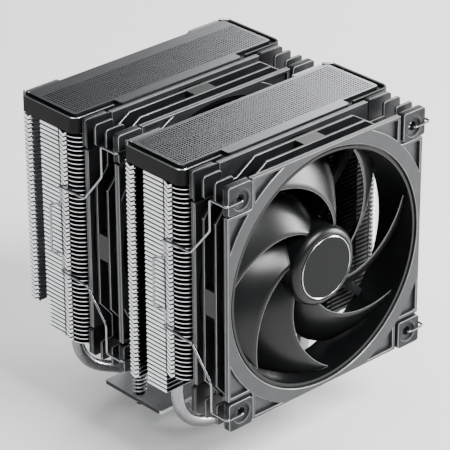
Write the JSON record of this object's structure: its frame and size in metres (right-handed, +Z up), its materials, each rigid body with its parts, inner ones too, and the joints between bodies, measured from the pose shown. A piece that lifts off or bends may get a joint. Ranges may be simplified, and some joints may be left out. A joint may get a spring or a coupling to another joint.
{
  "type": "processor tower cooler",
  "caption": "Dual-tower processor air cooler with heat pipes, perforated dark top covers and square fans held on by bent wire clips.",
  "frame": {"origin": "centre of the flat contact face under the base plate, the lowest face of the part", "axes": "+X across the fans, +Y along the air flow from the front fan to the rear fin stack, +Z up away from the processor"},
  "size_m": [0.1308, 0.1382, 0.16],
  "materials": {
    "bare_aluminium": "bead-blasted",
    "bearing_bronze": "sintered bronze",
    "clip_wire": "bright drawn wire",
    "cover_plastic": "fine matte",
    "fan_plastic": "fine matte",
    "fin_aluminium": "mill finish sheet",
    "grille_paint": "brushed dark grey anodised look",
    "hub_badge": "satin disc with a bright rim",
    "magnet": "dull",
    "nickel_plate": "semi-bright nickel plate",
    "nickel_plated_copper": "satin nickel plate over copper",
    "pad_rubber": "soft matte",
    "satin_bar": "satin, bright edge",
    "screw_steel": "black-nickel plated",
    "shaft_steel": "ground",
    "spring_steel": "bright",
    "winding_copper": "enamelled copper wire"
  },
  "bodies": {
    "root": {"base_plate": "nickel_plated_copper", "crossbar_screw_left": "screw_steel", "crossbar_screw_right": "screw_steel", "fin_stack_front": "fin_aluminium", "fin_stack_rear": "fin_aluminium", "front_fan_frame": "fan_plastic", "front_fan_front_pad_bottom_left": "pad_rubber", "front_fan_front_pad_bottom_right": "pad_rubber", "front_fan_front_pad_top_left": "pad_rubber", "front_fan_front_pad_top_right": "pad_rubber", "front_fan_rear_pad_bottom_left": "pad_rubber", "front_fan_rear_pad_bottom_right": "pad_rubber", "front_fan_rear_pad_top_left": "pad_rubber", "front_fan_rear_pad_top_right": "pad_rubber", "front_fan_sleeve_bearing": "bearing_bronze", "front_fan_stator": "winding_copper", "heat_pipe_1": "nickel_plate", "heat_pipe_2": "nickel_plate", "heat_pipe_3": "nickel_plate", "heat_pipe_4": "nickel_plate", "heat_pipe_5": "nickel_plate", "heat_pipe_6": "nickel_plate", "middle_fan_frame": "fan_plastic", "middle_fan_front_pad_bottom_left": "pad_rubber", "middle_fan_front_pad_bottom_right": "pad_rubber", "middle_fan_front_pad_top_left": "pad_rubber", "middle_fan_front_pad_top_right": "pad_rubber", "middle_fan_rear_pad_bottom_left": "pad_rubber", "middle_fan_rear_pad_bottom_right": "pad_rubber", "middle_fan_rear_pad_top_left": "pad_rubber", "middle_fan_rear_pad_top_right": "pad_rubber", "middle_fan_sleeve_bearing": "bearing_bronze", "middle_fan_stator": "winding_copper", "mounting_crossbar": "satin_bar", "pipe_clamp_block": "bare_aluminium", "screw_spring_left": "spring_steel", "screw_spring_right": "spring_steel", "top_cover_front": "cover_plastic", "top_cover_rear": "cover_plastic", "top_grille_front": "grille_paint", "top_grille_rear": "grille_paint"},
    "front_impeller": {"front_fan_impeller": "fan_plastic", "front_fan_hub_badge": "hub_badge", "front_fan_magnet_ring": "magnet", "front_fan_shaft": "shaft_steel"},
    "middle_impeller": {"middle_fan_impeller": "fan_plastic", "middle_fan_hub_badge": "hub_badge", "middle_fan_magnet_ring": "magnet", "middle_fan_shaft": "shaft_steel"},
    "front_clip_left": {"front_fan_wire_clip_left": "clip_wire"},
    "front_clip_right": {"front_fan_wire_clip_right": "clip_wire"},
    "middle_clip_left": {"middle_fan_wire_clip_left": "clip_wire"},
    "middle_clip_right": {"middle_fan_wire_clip_right": "clip_wire"},
    "washer_left": {"spring_washer_left": "spring_steel"},
    "screw_left": {"mounting_screw_left": "screw_steel", "screw_clip_ring_left": "spring_steel"},
    "washer_right": {"spring_washer_right": "spring_steel"},
    "screw_right": {"mounting_screw_right": "screw_steel", "screw_clip_ring_right": "spring_steel"}
  },
  "joints": [
    {"name": "front_fan_spin", "type": "hinge", "parent": "root", "child": "front_impeller", "pos_m": [0, -0.0693, 0.0995], "axis": [0, 1, 0], "continuous": true},
    {"name": "middle_fan_spin", "type": "hinge", "parent": "root", "child": "middle_impeller", "pos_m": [0, 0.0014, 0.0995], "axis": [0, 1, 0], "continuous": true},
    {"name": "front_clip_left_swing", "type": "hinge", "parent": "root", "child": "front_clip_left", "pos_m": [-0.0525, -0.0823, 0.0995], "axis": [0, 0, 1], "range_deg": [0, 20]},
    {"name": "front_clip_right_swing", "type": "hinge", "parent": "root", "child": "front_clip_right", "pos_m": [0.0525, -0.0823, 0.0995], "axis": [0, 0, -1], "range_deg": [0, 20]},
    {"name": "middle_clip_left_swing", "type": "hinge", "parent": "root", "child": "middle_clip_left", "pos_m": [-0.0525, -0.0116, 0.0995], "axis": [0, 0, 1], "range_deg": [0, 20]},
    {"name": "middle_clip_right_swing", "type": "hinge", "parent": "root", "child": "middle_clip_right", "pos_m": [0.0525, -0.0116, 0.0995], "axis": [0, 0, -1], "range_deg": [0, 20]},
    {"name": "washer_left_press", "type": "slide", "parent": "root", "child": "washer_left", "axis": [0, 0, 1], "range_m": [-0.006, 0], "stiffness_N_per_m": 8000, "springref_m": 0.002, "deforming": ["screw_spring_left"]},
    {"name": "screw_left_turn", "type": "hinge", "parent": "washer_left", "child": "screw_left", "pos_m": [-0.042, 0, 0.032], "axis": [0, 0, 1], "continuous": true},
    {"name": "washer_right_press", "type": "slide", "parent": "root", "child": "washer_right", "axis": [0, 0, 1], "range_m": [-0.006, 0], "stiffness_N_per_m": 8000, "springref_m": 0.002, "deforming": ["screw_spring_right"]},
    {"name": "screw_right_turn", "type": "hinge", "parent": "washer_right", "child": "screw_right", "pos_m": [0.042, 0, 0.032], "axis": [0, 0, 1], "continuous": true}
  ]
}
